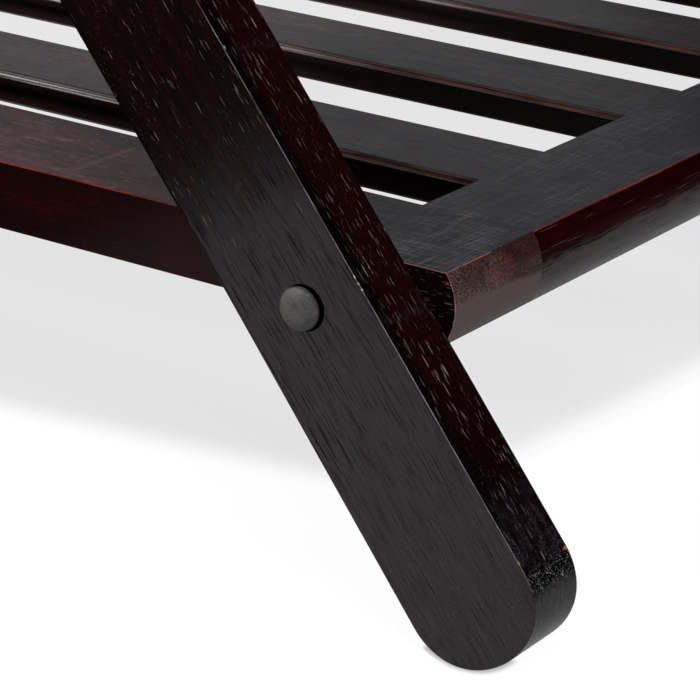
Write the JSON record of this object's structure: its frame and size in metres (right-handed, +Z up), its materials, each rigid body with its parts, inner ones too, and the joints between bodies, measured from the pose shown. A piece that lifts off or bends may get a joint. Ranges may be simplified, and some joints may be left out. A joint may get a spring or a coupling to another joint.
{
  "type": "folding luggage rack",
  "caption": "Folding luggage rack of dark stained wood: crossed leg frames, webbing straps across the top rails, and a slatted lower shelf that lifts so that the rack folds flat.",
  "frame": {"origin": "on the floor, under the middle of the open rack", "axes": "+Z up; X is the direction in which the rack folds, with the shelf's hinged end towards +X; Y runs along the rack, with the pictured end towards -Y"},
  "size_m": [0.4198, 0.6234, 0.5106],
  "materials": {
    "stained_wood": "near-black espresso stain with open pores under a satin lacquer",
    "plug_wood": "matte dark stained button",
    "webbing": "black woven webbing",
    "steel": "zinc-plated",
    "brass": "plain",
    "nylon": "matte black"
  },
  "bodies": {
    "outer_frame": {"outer_leg_front": "stained_wood", "outer_leg_back": "stained_wood", "outer_top_rail": "stained_wood", "stretcher": "stained_wood", "pivot_bolt_front": "steel", "pivot_bolt_back": "steel", "pivot_washer_front": "nylon", "pivot_washer_back": "nylon", "pivot_plug_front": "plug_wood", "pivot_plug_back": "plug_wood", "outer_rail_screw_front": "steel", "outer_rail_screw_back": "steel", "outer_rail_plug_front": "plug_wood", "outer_rail_plug_back": "plug_wood", "stretcher_screw_front": "steel", "stretcher_screw_back": "steel", "stretcher_plug_front": "plug_wood", "stretcher_plug_back": "plug_wood", "outer_strap_screw_1": "steel", "outer_strap_screw_2": "steel", "outer_strap_screw_3": "steel", "outer_strap_screw_4": "steel", "outer_strap_screw_5": "steel", "outer_strap_screw_6": "steel", "strap_1": "webbing", "strap_2": "webbing", "strap_3": "webbing"},
    "inner_frame": {"inner_leg_front": "stained_wood", "inner_leg_back": "stained_wood", "inner_top_rail": "stained_wood", "pivot_insert_front": "brass", "pivot_insert_back": "brass", "shelf_bolt_front": "steel", "shelf_bolt_back": "steel", "shelf_bolt_plug_front": "plug_wood", "shelf_bolt_plug_back": "plug_wood", "inner_rail_screw_front": "steel", "inner_rail_screw_back": "steel", "inner_rail_plug_front": "plug_wood", "inner_rail_plug_back": "plug_wood", "inner_strap_screw_1": "steel", "inner_strap_screw_2": "steel", "inner_strap_screw_3": "steel", "inner_strap_screw_4": "steel", "inner_strap_screw_5": "steel", "inner_strap_screw_6": "steel"},
    "shelf": {"shelf_side_rail_front": "stained_wood", "shelf_side_rail_back": "stained_wood", "shelf_end_rail_hinged": "stained_wood", "shelf_end_rail_resting": "stained_wood", "shelf_slat_1": "stained_wood", "shelf_slat_2": "stained_wood", "shelf_slat_3": "stained_wood", "shelf_slat_4": "stained_wood", "shelf_slat_5": "stained_wood", "shelf_slat_6": "stained_wood", "shelf_insert_front": "brass", "shelf_insert_back": "brass"}
  },
  "joints": [
    {"name": "fold", "type": "hinge", "parent": "outer_frame", "child": "inner_frame", "pos_m": [0, 0, 0.25503], "axis": [0, 1, 0], "range_deg": [0, 71], "deforming": ["strap_1", "strap_2", "strap_3"]},
    {"name": "shelf_lift", "type": "hinge", "parent": "inner_frame", "child": "shelf", "pos_m": [0.14279, 0, 0.0787], "axis": [0, 1, 0], "range_deg": [0, 51]}
  ]
}
